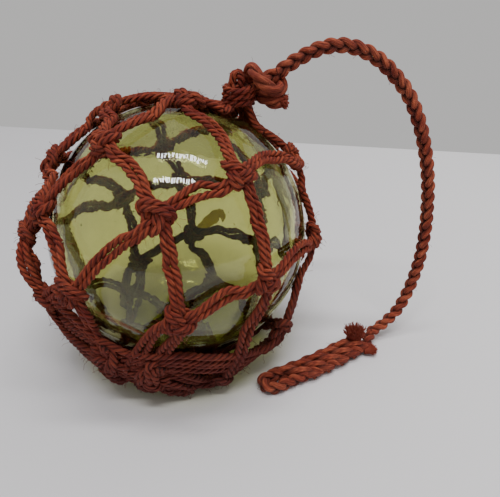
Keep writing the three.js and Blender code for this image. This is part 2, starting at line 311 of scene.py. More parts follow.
def strands_tree():
    """Strands that wind along lines: laid round a core where Crossings is 1, plaited where it is 2."""
    tree, given = new_tree("strands along lines", (
        ("Strands", "Int", 3), ("Strand Radius", "Float", 0.001), ("Half Width", "Float", 0.001),
        ("Half Height", "Float", 0.001), ("Crossings", "Int", 1), ("Sides", "Int", 5)))
    side, up, turn, thick = [
        add(tree, "GeometryNodeInputNamedAttribute", {"data_type": kind}, {"Name": name}, 0)
        for name, kind in cord_fields.items()]
    position = add(tree, "GeometryNodeInputPosition", out=0)
    run = add(tree, "GeometryNodeSplineParameter", out="Length")
    curve = add(tree, "GeometryNodeMeshToCurve", links={"Mesh": given["Geometry"]}, out=0)
    copies = add(tree, "GeometryNodeDuplicateElements", {"domain": "SPLINE"}, {
        "Geometry": curve, "Amount": given["Strands"]}).outputs
    which = copies["Duplicate Index"]

    # Each strand's turn about the core, and how far that takes it to the side and up: a laid strand
    # goes round, and a plaited one crosses over the others twice in each turn
    part = add(tree, "ShaderNodeMath", {"operation": "DIVIDE"}, {0: which, 1: given["Strands"]}, 0)
    angle = add(tree, "ShaderNodeMath", {"operation": "MULTIPLY_ADD"}, {0: part, 1: 2 * math.pi, 2: turn}, 0)
    crossing = add(tree, "ShaderNodeMath", {"operation": "MULTIPLY"}, {0: angle, 1: given["Crossings"]}, 0)
    laid = add(tree, "ShaderNodeMath", {"operation": "COMPARE"}, {0: given["Crossings"], 1: 1.0, 2: 0.1}, 0)
    lead = add(tree, "ShaderNodeMath", {"operation": "MULTIPLY_ADD"}, {0: laid, 1: math.pi / 2, 2: angle}, 0)
    shifts = []
    for phase, reach, way in ((lead, "Half Width", side), (crossing, "Half Height", up)):
        wave = add(tree, "ShaderNodeMath", {"operation": "SINE"}, {0: phase}, 0)
        far = add(tree, "ShaderNodeMath", {"operation": "MULTIPLY"}, {0: wave, 1: given[reach]}, 0)
        shifts.append(add(tree, "ShaderNodeVectorMath", {"operation": "SCALE"}, {0: way, "Scale": far}, 0))
    offset = add(tree, "ShaderNodeVectorMath", {"operation": "ADD"}, dict(enumerate(shifts)), 0)
    held = add(tree, "GeometryNodeCaptureAttribute", links={"Geometry": copies["Geometry"]})
    for name, kind, value in (
            ("core", "VECTOR", position), ("run", "FLOAT", run), ("which", "FLOAT", which)):
        held.capture_items.new(kind, name)
        tree.links.new(value, held.inputs[name])
    held = held.outputs
    moved = add(tree, "GeometryNodeSetPosition", links={
        "Geometry": held["Geometry"], "Offset": offset}, out=0)
    swell = add(tree, "ShaderNodeTexNoise", {"noise_dimensions": "4D"}, {
        "Vector": held["core"], "W": held["which"], "Scale": 160.0, "Detail": 1.0}, "Fac")
    plump = add(tree, "ShaderNodeMath", {"operation": "MULTIPLY_ADD"}, {0: swell, 1: 0.6, 2: 0.72}, 0)
    radius = add(tree, "ShaderNodeMath", {"operation": "MULTIPLY"}, {0: plump, 1: thick}, 0)
    sized = add(tree, "GeometryNodeSetCurveRadius", links={"Curve": moved, "Radius": radius}, out=0)

    ring = add(tree, "GeometryNodeCurvePrimitiveCircle", links={
        "Resolution": given["Sides"], "Radius": given["Strand Radius"]}, out=0)
    around = add(tree, "GeometryNodeCaptureAttribute", links={"Geometry": ring})
    around.capture_items.new("VECTOR", "around")
    tree.links.new(position, around.inputs["around"])
    made = add(tree, "GeometryNodeCurveToMesh", links={
        "Curve": sized, "Profile Curve": around.outputs["Geometry"], "Fill Caps": True}, out=0)

    # What the fibre's material reads: a place along and round the strand, and how far out of the
    # groove that place is
    lengthwise = add(tree, "ShaderNodeMath", {"operation": "MULTIPLY_ADD"}, {
        0: held["which"], 1: 0.7, 2: held["run"]}, 0)
    lengthwise = add(tree, "ShaderNodeCombineXYZ", links={"Z": lengthwise}, out=0)
    grain = add(tree, "ShaderNodeVectorMath", {"operation": "ADD"}, {
        0: around.outputs["around"], 1: lengthwise}, 0)
    grain = add(tree, "ShaderNodeVectorMath", {"operation": "SCALE"}, {0: grain, "Scale": 1 / MM}, 0)
    reach = add(tree, "ShaderNodeMath", {"operation": "ADD"}, {
        0: given["Half Width"], 1: given["Strand Radius"]}, 0)
    from_core = add(tree, "ShaderNodeVectorMath", {"operation": "DISTANCE"}, {
        0: position, 1: held["core"]}, "Value")
    crest = add(tree, "ShaderNodeMath", {"operation": "DIVIDE"}, {0: from_core, 1: reach}, 0)
    for name, kind, value in (("grain", "FLOAT_VECTOR", grain), ("crest", "FLOAT", crest)):
        made = add(tree, "GeometryNodeStoreNamedAttribute", {"data_type": kind, "domain": "POINT"}, {
            "Geometry": made, "Name": name, "Value": value}, 0)
    for name in cord_fields:
        made = add(tree, "GeometryNodeRemoveAttribute", links={"Geometry": made, "Name": name}, out=0)
    smooth = add(tree, "GeometryNodeSetShadeSmooth", links={"Geometry": made}, out=0)
    return close_tree(tree, smooth, given["Material"])


def grown(name, mesh, tree, **inputs):
    """The plain mesh that a node tree makes of a mesh, as a piece of its own."""
    seed = new_object(name + "_lines", mesh)
    modifier = seed.modifiers.new("tree", "NODES")
    modifier.node_group = tree
    sockets = {item.name: item.identifier for item in tree.interface.items_tree if item.in_out == "INPUT"}
    for key, value in inputs.items():
        modifier[sockets[key.replace("_", " ").title()]] = value
    graph = bpy.context.evaluated_depsgraph_get()
    made = bpy.data.meshes.new_from_object(seed.evaluated_get(graph), depsgraph=graph)
    made.name = name
    bpy.data.objects.remove(seed)
    return new_object(name, made)


strands_along = strands_tree()


def corded(name, cords, **sizes):
    """A piece of cords, each with its strands."""
    return grown(name, lines_mesh(name, cords), strands_along, **sizes)


# The tail rope: three soft strands plaited, stiff enough with age to stand in an arch.
# It leaves the knot at the crown, comes down to the table beside the ball and runs on into its splice.
rope_route = [
    (48, 12, 139.1), (51.5, 12, 141.7), (57, 12, 145.2), (65.5, 11, 149.4), (74.4, 10.5, 150.9),
    (83.2, 10, 149.4), (92.2, 9.5, 144.9), (100.7, 9, 137.6), (107.8, 8, 128.9), (114, 7, 116.8),
    (118.6, 6.5, 104), (122.2, 6, 89.9), (124.3, 5, 74.2), (125.4, 4.7, 59.4), (125, 4.4, 43.5),
    (121.8, 2.6, 27.8), (116.4, -0.2, 15.6), (109, -3, 8.4), (101.4, -7.2, 5.2),
]
rope_diameter = 6.8
strand_diameter = 3.0
plait_length = 17
rope_step = 0.6
plait = {"strand_radius": strand_diameter / 2 * MM, "half_width": (rope_diameter - strand_diameter) / 2 * MM,
         "half_height": 1.25 * MM, "crossings": 2, "strands": 3, "sides": 10, "material": rope_red}
inside_knot = [(38.6, 12.6, 131.6), (43.4, 12.2, 135.7)]
splice_tip = (39.2, -46.2)
splice_pitch, splice_bow, splice_lies = 6.6, 2.5, 3.3
splice_root = np.array((*rope_route[-1][:2], 0))
splice_ahead = unit(np.array((*splice_tip, 0)) - splice_root)
splice_across = np.cross((0, 0, 1), splice_ahead)
splice_length = math.dist(splice_tip, rope_route[-1][:2]) - rope_diameter / 2
eye_depth, eye_swell = 3.5, 0.5


def in_splice(run, across, height=splice_lies):
    """A place in the splice: along it from the rope's end, across it towards the front, and up."""
    bow = splice_bow * math.sin(math.pi * min(run, splice_length) / splice_length)
    return splice_root + splice_ahead * run + splice_across * (across + bow) + (0, 0, height)


lane = splice_pitch / 2
there = [in_splice(6, lane, 4.0), *(in_splice(run, lane) for run in (14, 28, 42, 56))]
eye = [in_splice(splice_length - eye_depth, lane + eye_swell), in_splice(splice_length, 0),
       in_splice(splice_length - eye_depth, -lane - eye_swell)]
back = [in_splice(run, -lane) for run in (56, 42, 28, 16, 9)]
rope_line = smooth_line([*inside_knot, *rope_route, *there, *eye, *back], rope_step)
rope_cord = lay_cord(rope_line, plait_length, (-0.6, 0, 0.8), (0, 0, 1))


def stretch(cord, start, stop):
    """The part of a cord between two of its points."""
    return {key: values[start:stop + 1] for key, values in cord.items()}


def nearest(line, place):
    return int(np.argmin(np.linalg.norm(line - place, axis=1)))


leaves_knot, meets_splice = nearest(rope_line, rope_route[0]), nearest(rope_line, rope_route[-1])
knot_side = stretch(rope_cord, 0, leaves_knot)
splice_side = stretch(rope_cord, meets_splice, len(rope_line))
free_rope = stretch(rope_cord, leaves_knot, meets_splice)
tail_rope = corded("tail_rope_plait", [free_rope], **plait)
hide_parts("tail_rope")
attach(tail_rope, "root")

# The net: two cords of twine worked side by side, each row of meshes knotted to the row above
# with sheet bends that are drawn up hard against the glass.
glass_low, glass_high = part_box("glass_ball")
ball_centre = np.array((glass_low + glass_high) / 2) / MM
glass_radius = (glass_high.z - glass_low.z) / 2 / MM
net_radius = glass_radius + 0.3
crown_lean, crown_turn = math.radians(29.7), math.radians(22)
net_axis = np.array((math.sin(crown_lean) * math.cos(crown_turn),
                     math.sin(crown_lean) * math.sin(crown_turn), math.cos(crown_lean)))
net_east = unit(np.cross((0, 0, 1), net_axis))
net_north = np.cross(net_axis, net_east)
knot_rows = [
    [(71, 51), (105, 23), (241, 27), (290, 38), (342, 32), (40, 45)],
    [(109, 59), (168, 44), (237, 61), (262, 76), (300, 60), (8, 62), (79, 80)],
    [(146, 70), (193, 76), (225, 99), (289, 86), (345, 80), (42, 88), (101, 91)],
    [(168, 100), (209, 126), (258, 112), (328, 104), (14, 100), (90, 108), (129, 110)],
    [(177, 144), (238, 141), (301, 120), (350, 130), (51, 116), (106, 129), (155, 147)],
]
added_knot = 3
cord_diameter = 3.2
pair_pitch = 3.1
twine_lay = 9.6
lying = cord_diameter * 0.46
hand = random.Random(7)


def towards(azimuth, polar):
    """The way from the middle of the ball to a place on the net, from degrees."""
    a, p = math.radians(azimuth), math.radians(polar)
    return net_axis * math.cos(p) + (net_east * math.cos(a) + net_north * math.sin(a)) * math.sin(p)


def over_glass(azimuth, polar, raised):
    """A place for the middle of a cord that lies on the glass, or is raised off it."""
    return ball_centre + towards(azimuth, polar) * (net_radius + lying + raised)


def spun(flat, angle):
    """Flat points turned about the middle of their map."""
    return flat @ np.array(((math.cos(angle), math.sin(angle)), (-math.sin(angle), math.cos(angle))))


class Spot:
    """A flat map of the glass round one place: x to the right, y to the crown, z out."""

    def __init__(self, outward, north=None):
        self.out = outward
        north = net_axis if north is None else north
        self.north = unit(north - np.dot(north, outward) * outward)
        self.east = np.cross(self.north, outward)

    def flat(self, direction):
        angle = math.acos(np.clip(np.dot(direction, self.out), -1, 1))
        level = unit(direction - np.dot(direction, self.out) * self.out)
        return np.array((np.dot(level, self.east), np.dot(level, self.north))) * angle * net_radius

    def round(self, points):
        """Points of the flat map, as places round the ball in millimetres."""
        far = np.linalg.norm(points[:, :2], axis=1)[:, None]
        level = (points[:, :1] * self.east + points[:, 1:2] * self.north) / (far + 1e-9)
        angle = far / net_radius
        outward = self.out * np.cos(angle) + level * np.sin(angle)
        return ball_centre + outward * (net_radius + points[:, 2:])


def tighten(chains, rounds, diameter, pull, floor=None):
    """Draws cords tight with their ends held, and keeps them a diameter apart and off the glass.
    Each chain is an array of knots, points and x, y, z."""
    sizes = [chain.shape[1] for chain in chains]
    ends = np.cumsum([0, *sizes])
    points = np.concatenate(chains, axis=1)
    owner = np.repeat(np.arange(len(sizes)), sizes)
    held = np.zeros(ends[-1], bool)
    held[ends[:-1]] = held[ends[1:] - 1] = True
    inner = np.flatnonzero(~held)
    one, other = np.triu_indices(ends[-1], 1)
    apart = (owner[one] != owner[other]) | (other - one > 3)
    one, other = one[apart], other[apart]
    share_moved = 0.42
    for _ in range(rounds):
        moved = points.copy()
        moved[:, inner] += pull * ((points[:, inner - 1] + points[:, inner + 1]) / 2 - points[:, inner])
        gap = moved[:, other] - moved[:, one]
        square = np.einsum("kpi,kpi->kp", gap, gap)
        knot, touching = np.nonzero(square < diameter**2)
        length = np.sqrt(square[knot, touching])[:, None] + 1e-9
        push = gap[knot, touching] / length * (diameter - length) * share_moved
        np.add.at(moved, (knot, other[touching]), push)
        np.add.at(moved, (knot, one[touching]), -push)
        moved[..., 2] = np.maximum(moved[..., 2], floor or diameter / 2)
        moved[:, held] = points[:, held]
        points = moved
    return [points[:, a:b] for a, b in zip(ends, ends[1:])]


def doubled(line, pitch):
    side = unit(np.cross(np.gradient(line, axis=0), (0, 0, 1)))
    return [line + side * pitch / 2, line - side * pitch / 2]


# A sheet bend tied loose: the bight of the upper mesh, and the cord that comes up through it,
# goes round behind it and is nipped under itself
bight_route = [(-16, 24, 1.6), (-10, 14, 2.5), (-6.8, 7, 5), (-6.2, 0, 4), (-5, -6, 4.5), (0, -10, 5.5),
               (5, -6, 4.5), (6.2, 0, 4), (6.8, 7, 5), (10, 14, 2.5), (16, 24, 1.6)]
wrap_route = [(-16, -24, 1.6), (-9, -17, 1.6), (-2, -12, 1.6), (-1.5, -7, 2.3), (-1, -4, 5.5), (1, -1, 9.2),
              (5, 2, 11), (10, 4.5, 8.5), (13, 7, 4.5), (9, 9.5, 1.6), (0, 10, 1.6), (-9, 9, 1.6),
              (-13, 5.5, 5), (-9.5, 2, 9), (-6, 1, 8.8), (0, 0.2, 4), (3.5, -1.8, 5.5), (6.5, -3.5, 8.2),
              (10, -7, 6), (12, -13, 2.5), (16, -24, 1.6)]
tied_scale, tied_step, tied_pitch = 0.75, 1.4, 2.6
pull, tied_rounds = 0.3, 160
tied = [cord[None] for route in (bight_route, wrap_route)
        for cord in doubled(smooth_line(np.array(route) * tied_scale, tied_step), tied_pitch)]
for diameter in (2.4, 2.0):
    tied = tighten(tied, tied_rounds, diameter, pull)
tied = [cord[0] for cord in tied]
knot_reach = 7.0
resting_arms = np.radians((124, 56, -124, -56))
parted_share = 0.2


class Leg:
    """A doubled cord between two knots: where its middle is, which way it runs down, and how its
    two cords lie beside each other."""

    def __init__(self, upper, lower, aside=0.0):
        self.down = unit(lower - upper)
        middle = unit(upper + lower)
        across = np.cross(self.down, middle)
        self.middle = unit(middle + across * (aside + hand.uniform(-0.5, 0.5)) / net_radius)
        self.side = unit(np.cross(self.down, self.middle))
        parted = hand.random() < parted_share
        self.pitch = pair_pitch * (hand.uniform(1.3, 1.7) if parted else hand.uniform(0.96, 1.12))

    def cord_way(self, which, running_down):
        """Where one of the two cords passes the leg's middle, seen along the way it runs."""
        sign = (1 if which == 0 else -1) * (1 if running_down else -1)
        return unit(self.middle + self.side * sign * self.pitch / 2 / net_radius)

    def frame_side(self, running_down):
        return self.side if running_down else -self.side


class Knot:
    def __init__(self, way):
        self.way = way
        self.spot = Spot(way)
        self.uppers, self.lowers = [], []

    def by_side(self, legs):
        return sorted(legs, key=lambda leg: self.spot.flat(leg.middle)[0])


rows = [[Knot(towards(*place)) for place in row] for row in knot_rows]
crown_way, foot_way = net_axis, -net_axis
crown_legs, foot_legs = [], []
beside = pair_pitch * 1.02
for knot in rows[0]:
    for aside in (-beside, beside):
        leg = Leg(crown_way, knot.way, aside)
        knot.uppers.append(leg)
        crown_legs.append(leg)
for above, below in zip(rows, rows[1:]):
    grew = len(below) > len(above)
    for index, knot in enumerate(below):
        holders = [(column - (grew and column > added_knot)) % len(above) for column in (index, index + 1)]
        for holder, aside in zip(holders, (-beside, beside)):
            leg = Leg(above[holder].way, knot.way, aside if holders[0] == holders[1] else 0.0)
            knot.uppers.append(leg)
            above[holder].lowers.append(leg)
for knot in rows[-1]:
    for aside in (-beside, beside):
        leg = Leg(knot.way, foot_way, aside)
        knot.lowers.append(leg)
        foot_legs.append(leg)

# Every knot's four cords, from leg middle to leg middle, drawn tight together; some knots are tied
# the other way round, and some are turned over
knots = [knot for row in rows for knot in row]
bight_count, wrap_count = 38, 62
drawn_rounds = 40
drawn_diameter = 2.1
flipped_share, mirrored_share = 0.45, 0.3


def tied_core(knot, which, turn, size, flip, mirror):
    core = tied[which].copy()
    near = np.flatnonzero(np.linalg.norm(core[:, :2], axis=1) < knot_reach)
    core = core[near[0]:near[-1] + 1]
    if flip:
        core[:, 2] = tied[3][:, 2].max() + tied[3][:, 2].min() - core[:, 2]
    if mirror:
        core = core[::-1] * (-1, 1, 1)
    return np.column_stack((spun(core[:, :2], turn) * size, core[:, 2] + lying - 1))


def flat_end(knot, leg, which, running_down):
    return np.append(knot.spot.flat(leg.cord_way(which, running_down)), lying)


chains = [[], [], [], []]
for knot in knots:
    knot.uppers, knot.lowers = knot.by_side(knot.uppers), knot.by_side(knot.lowers)
    arms = [(knot.uppers[0], True), (knot.uppers[-1], False),
            (knot.lowers[0], False), (knot.lowers[-1], True)]
    angles = [math.atan2(*knot.spot.flat(leg.middle)[::-1]) for leg, _ in arms]
    off_rest = [(a - b + math.pi) % (2 * math.pi) - math.pi for a, b in zip(angles, resting_arms)]
    turn = float(np.clip(np.mean(off_rest) + hand.uniform(-0.2, 0.2), -0.7, 0.7))
    size = hand.uniform(0.94, 1.08)
    flip, mirror = hand.random() < flipped_share, hand.random() < mirrored_share
    knot.arms = arms
    for which, (start, end) in enumerate(((0, 1), (0, 1), (2, 3), (2, 3))):
        ends = [flat_end(knot, *(arms[k][0], which % 2, arms[k][1])) for k in (start, end)]
        core = tied_core(knot, which, turn, size, flip, mirror)
        line = np.vstack((ends[0], core, ends[1]))
        chains[which].append(even(line, count=bight_count if which < 2 else wrap_count))
drawn = tighten([np.array(chain) for chain in chains], drawn_rounds, drawn_diameter, pull, lying)
side_slack, side_slack_below = 5, 112
slack_depth, slack_below, slack_grows_over = 10, 48, 30
under_ball = 18
knot_drawn_down, knot_drawn_within = 3.2, 17


def net_cord(line, start_side, end_side, thick=1.0):
    return lay_cord(line, twine_lay, start_side, end_side, thick=thick)


def slack(points):
    """The lowest meshes hang off the glass and reach for the table, all but those under the ball,
    and the side away from the rope stands off the glass."""
    level = np.linalg.norm(points[:, :2], axis=1)
    outward = points[:, :2] / (level[:, None] + 1e-9)
    low = np.clip((slack_below - points[:, 2]) / slack_grows_over, 0, 1)
    clear = np.clip((level - under_ball) / under_ball, 0, 1)
    more_in_front = 0.62 - 0.38 * outward[:, 1]
    drop = slack_depth * low**2 * (3 - 2 * low) * clear * more_in_front
    loose_side = np.clip(-outward[:, 0], 0, 1)**2 * np.clip((side_slack_below - points[:, 2]) / 40, 0, 1)
    stands_off = side_slack * loose_side * clear
    return points + np.column_stack((outward * (drop * 0.25 + stands_off)[:, None], -drop))


def hung(flat):
    """The weight of the ball has drawn each knot a little down its mesh, with its cords' far ends held."""
    far = np.linalg.norm(flat[:, :2], axis=1)
    limit = min(knot_drawn_within, far[0], far[-1])
    part = np.clip((limit - far) / (0.55 * limit), 0, 1)
    return flat - np.outer(part**2 * (3 - 2 * part), (0, knot_drawn_down, 0))


upper_cords, middle_cords, lower_cords, draw_cords = [], [], [], []
cords_of_row = (upper_cords, upper_cords, middle_cords, middle_cords, lower_cords)
for index, (knot, held) in enumerate((knot, held) for row, held in zip(rows, cords_of_row) for knot in row):
    for which, chain in enumerate(drawn):
        flat = smooth_line(chain[index])
        far = np.linalg.norm(flat[:, :2], axis=1)
        (start_leg, start_down), (end_leg, end_down) = knot.arms[:2] if which < 2 else knot.arms[2:]
        held.append(net_cord(slack(knot.spot.round(hung(flat))), start_leg.frame_side(start_down),
                             end_leg.frame_side(end_down), np.interp(far, (7, 10), (0.88, 1.0))))
    for leg in knot.lowers[1:-1]:
        for which in (0, 1):
            end = flat_end(knot, leg, which, True)
            line = smooth_line([end, end * (0.5, 0.5, 1), (0, 0, cord_diameter)])
            held.append(net_cord(slack(knot.spot.round(line)), leg.side, leg.side))

# The crown: the top loops of the net stand gathered in a stalk, bound with three turns of the twine
stalk_stands = unit(np.array((0.12, 0.0, 1.0)))
crown_point = ball_centre + net_axis * net_radius
crown_spot, foot_spot = Spot(crown_way, north=net_north), Spot(foot_way, north=net_north)
for leg in crown_legs:
    middle = crown_spot.flat(leg.middle)
    out = unit(middle)
    level = unit(crown_spot.round(np.append(out, 0)[None])[0] - crown_point)
    level = unit(level - np.dot(level, stalk_stands) * stalk_stands)
    running_down = any(leg is knot.uppers[0] for knot in rows[0])
    for which in (0, 1):
        start = crown_spot.flat(leg.cord_way(which, running_down))
        beside_out = start - out * np.dot(start, out)
        foot = crown_spot.round(np.array([(*start, lying), (*(out * 11 + beside_out * 0.8), lying),
                                          (*(out * 8 + beside_out * 0.5), lying + 1)]))
        rise = [crown_point + stalk_stands * h + level * r for h, r in ((6.5, 4.6), (10, 3.6), (14.5, 3.2))]
        line = smooth_line(np.vstack((foot, rise)))
        line = line[::-1] if running_down else line
        upper_cords.append(net_cord(line, leg.frame_side(running_down), leg.frame_side(running_down)))

stalk_east = unit(np.cross((0, 1, 0), stalk_stands))
stalk_north = np.cross(stalk_stands, stalk_east)


def on_stalk(x, y, h):
    return crown_point + stalk_east * x + stalk_north * y + stalk_stands * h


binding_turns, binding_rise, binding_slant = 3.2, 2.7, 1.1
binding = [on_stalk(6.3 * math.cos(a), 6.0 * math.sin(a),
                    6.0 + binding_rise * a / (2 * math.pi) + binding_slant * math.sin(a + 0.6))
           for a in np.linspace(0, binding_turns * 2 * math.pi, 46)]
upper_cords.append(net_cord(smooth_line(binding), (0, 0, 1), (0, 0, 1)))
standing_loop = [(-3.4, 10), (-3.4, 14.5), (-3.2, 17.6), (-1.5, 19.2), (0.2, 17.6), (0.4, 14.5), (0.4, 10)]
for aside in (-1.2, 2.2):
    line = smooth_line([on_stalk(x, aside, h) for x, h in standing_loop])
    upper_cords.append(net_cord(line, (0, 1, 0), (0, 1, 0), thick=1.3))

# The foot: the lowest meshes are drawn together under the ball by a whole turn of doubled twine,
# with three part turns beside it in front
for leg in foot_legs:
    running_down = any(leg is knot.lowers[-1] for knot in rows[-1])
    for which in (0, 1):
        start = foot_spot.flat(leg.cord_way(which, running_down))
        to_ring = 0.72 if leg in foot_legs[::2] else 0.05
        line = foot_spot.round(np.array([(*(start * part), lying + 3 * (1 - part)**2)
                                         for part in np.linspace(1, to_ring, 5)]))
        line = slack(smooth_line(line))
        line = line if running_down else line[::-1]
        lower_cords.append(net_cord(line, leg.frame_side(running_down), leg.frame_side(running_down)))
draw_ring_polar, pulled_up, pulled_at, pulled_over = 151, 13, 183, 46


def draw(places):
    """A cord of the draw line through places, with the slack of the meshes that it holds."""
    draw_cords.append(net_cord(slack(smooth_line(places)), net_axis, net_axis))


def ring_polar(azimuth, number):
    """Where one turn of the draw cord crosses an azimuth: pulled up in front, and wandering a little."""
    up = pulled_up * math.exp(-((azimuth - pulled_at) / pulled_over)**2)
    wander = (1.6 * math.sin(math.radians(2 * azimuth + 110 * number))
              + 0.7 * math.sin(math.radians(7 * azimuth + 50 * number)))
    return draw_ring_polar - up + wander


for number, (polar, raised, first, last) in enumerate((
        (-9, 1.0, 108, 264), (-4.5, 3.0, 98, 276), (0, 1.4, 0, 360), (4.5, 2.6, 122, 252))):
    for beside_by in (-1.5, 1.5):
        draw([over_glass(azimuth, ring_polar(azimuth, number) + polar + beside_by, raised)
              for azimuth in np.linspace(first, last, (last - first) // 4 + 1)])
# The slack of the draw cord is carried across in doubled lines: two in front, close under the glass,
# and two up the side away from the rope, where one pair bows off the ball
lying_pair, bowed_pair = ((-1.4, 0), (1.4, 0)), ((-0.8, 2.4), (0.8, 5.4))
for pair, route in (
        (bowed_pair, ((88, 106), (94, 111), (100, 116), (105, 122), (109, 129))),
        (lying_pair, ((105, 126), (113, 126), (123, 127), (136, 131), (148, 139))),
        (lying_pair, ((158, 131), (168, 126), (178, 120), (188, 117),
                      (200, 114), (212, 112), (225, 112), (236, 113))),
        (lying_pair, ((156, 136), (166, 131), (177, 125), (189, 121),
                      (201, 118), (212, 117), (223, 117), (236, 119)))):
    for beside_by, bow in pair:
        draw([over_glass(azimuth, polar + beside_by, 1.2 + bow * math.sin(math.pi * at))
              for at, (azimuth, polar) in zip(np.linspace(0, 1, len(route)), route)])
for start, end in ((226, 236), (214, 224), (203, 212)):
    for beside_by in (-1.4, 1.4):
        draw([over_glass(start + (end - start) * at + beside_by, 159 - 28 * at, 4.2 - 2 * at)
              for at in np.linspace(0, 1, 9)])
# Where the draw cord picks up the last meshes they bunch into knots of their own
for azimuth, polar in ((150, 138), (171, 133), (193, 139), (205, 157), (233, 131), (262, 149)):
    bunch = Spot(towards(azimuth, polar))
    angle = hand.uniform(-1, 1)
    for core in tied:
        near = core[np.linalg.norm(core[:, :2], axis=1) < knot_reach + 1.5]
        line = slack(bunch.round(np.column_stack((spun(near[:, :2], angle), near[:, 2] + 1.2))))
        draw_cords.append(net_cord(smooth_line(line), net_axis, net_axis))
coil = [(r * math.cos(a), r * math.sin(a), h) for a, r, h in
        zip(np.linspace(0, 4 * math.pi, 30), np.linspace(7, 4, 30), np.linspace(3.2, 6.5, 30))]
draw_cords.append(net_cord(smooth_line(foot_spot.round(np.array(coil))), foot_way, foot_way))


def press_on_table(piece, lowest=0.05):
    for vertex in piece.data.vertices:
        vertex.co.z = max(vertex.co.z, lowest * MM)


twine = {"strand_radius": 0.86 * MM, "half_width": 0.9 * MM, "half_height": 0.9 * MM, "sides": 5,
         "material": twine_red}
net_pieces = []
for name, cords in (("net_upper_meshes", upper_cords), ("net_middle_meshes", middle_cords),
                    ("net_lower_meshes", lower_cords), ("net_draw_cords", draw_cords)):
    piece = corded(name, cords, **twine)
    press_on_table(piece)
    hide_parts("net")
    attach(piece, "root")
    net_pieces.append(piece)

# The ball: pale olive bottle glass, blown by hand, so its wall is wavy and holds seeds and a streak.
# It is sealed and empty: one outer skin, and an inner skin some four millimetres inside it.
olive_glass, tree = new_material("pale olive bottle glass")
place = add(tree, "ShaderNodeTexCoord", out="Object")
ripple = add(tree, "ShaderNodeTexNoise", links={
    "Vector": place, "Scale": 55.0, "Detail": 1.5, "Roughness": 0.4, "Distortion": 0.6}, out="Fac")
fine = add(tree, "ShaderNodeTexNoise", links={"Vector": place, "Scale": 420.0, "Detail": 1.0}, out="Fac")
waves = add(tree, "ShaderNodeBump", links={"Height": ripple, "Strength": 0.16, "Distance": 0.001}, out=0)
bump = add(tree, "ShaderNodeBump", links={
    "Height": fine, "Strength": 0.2, "Distance": 0.0001, "Normal": waves}, out=0)
finish_with(tree, {"Base Color": linear("#DDDFA6"), "Roughness": 0.012, "IOR": 1.5,
                   "Transmission Weight": 1.0, "Normal": bump})

streak_glass, tree = new_material("dark olive streak in the glass")
finish_with(tree, {
    "Base Color": linear("#8C7D2C"), "Roughness": 0.1, "IOR": 1.0, "Transmission Weight": 1.0})

glass_wall = 3.6
seed_count, seed_depths, seed_radii = 70, (0.9, 2.6), (0.12, 0.4)


def blown_skin(shell, radius, wave, grain, facing_in=False):
    """Adds a closed skin to the shell, a little out of round as a blown one is."""
    skin = bmesh.ops.create_icosphere(shell, subdivisions=6, radius=1)["verts"]
    for vertex in skin:
        way = vertex.co.normalized()
        swell = (noise.noise(way * grain + Vector((3, 1, 7))) - 1) / 2 * wave
        vertex.co = (Vector(ball_centre) + way * (radius + swell)) * MM
    if facing_in:
        bmesh.ops.reverse_faces(shell, faces=list({face for vertex in skin for face in vertex.link_faces}))


shell = bmesh.new()
blown_skin(shell, glass_radius, wave=0.25, grain=1.6)
blown_skin(shell, glass_radius - glass_wall, wave=0.8, grain=2.6, facing_in=True)
seeds = random.Random(19)
for _ in range(seed_count):
    way = Vector([seeds.gauss(0, 1) for _ in range(3)]).normalized()
    seed_place = (Vector(ball_centre) + way * (glass_radius - seeds.uniform(*seed_depths))) * MM
    seed = bmesh.ops.create_icosphere(shell, subdivisions=2, radius=seeds.uniform(*seed_radii) * MM)["verts"]
    for vertex in seed:
        vertex.co += seed_place
    bmesh.ops.reverse_faces(shell, faces=list({face for vertex in seed for face in vertex.link_faces}))
for face in shell.faces:
    face.smooth = True
shell_mesh = bpy.data.meshes.new("blown_glass_ball")
shell.to_mesh(shell_mesh)
shell.free()
glass = new_object("blown_glass_ball", shell_mesh, olive_glass)

# A fold of darker glass in the far wall, bent like a boomerang
streak_line = smooth_line([(1.5, 55.0, 34.5), (7.5, 57, 39.5), (12.5, 57.2, 43.6), (16.5, 57.0, 46.8),
                           (19.0, 56.0, 45.4), (20.6, 54.5, 41.6)], 0.8)
streak_out = unit(streak_line - ball_centre)
streak_side = unit(np.cross(np.gradient(streak_line, axis=0), streak_out))
streak_width = np.interp(np.linspace(0, 1, len(streak_line)),
                         (0, 0.25, 0.6, 0.8, 1), (2.4, 3.4, 4.6, 2.8, 0.5))
rims = [ball_centre + unit(streak_line + streak_side * streak_width[:, None] * sign - ball_centre)
        * (glass_radius - glass_wall / 2 + raised)
        for sign, raised in ((-1, 0), (0, 0.35), (1, 0), (0, -0.35))]
count = len(streak_line)
faces = [(r * count + k, r * count + k + 1, (r + 1) % 4 * count + k + 1, (r + 1) % 4 * count + k)
         for r in range(4) for k in range(count - 1)]
faces += [tuple(r * count for r in range(4)), tuple(r * count + count - 1 for r in range(3, -1, -1))]
streak_mesh = bpy.data.meshes.new("olive_streak")
streak_mesh.from_pydata((np.vstack(rims) * MM).tolist(), [], faces)
streak_mesh.shade_smooth()
streak = new_object("olive_streak", streak_mesh, streak_glass)
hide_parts("glass_ball")
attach(streak, "root")
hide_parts("glass_ball")
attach(glass, "root")

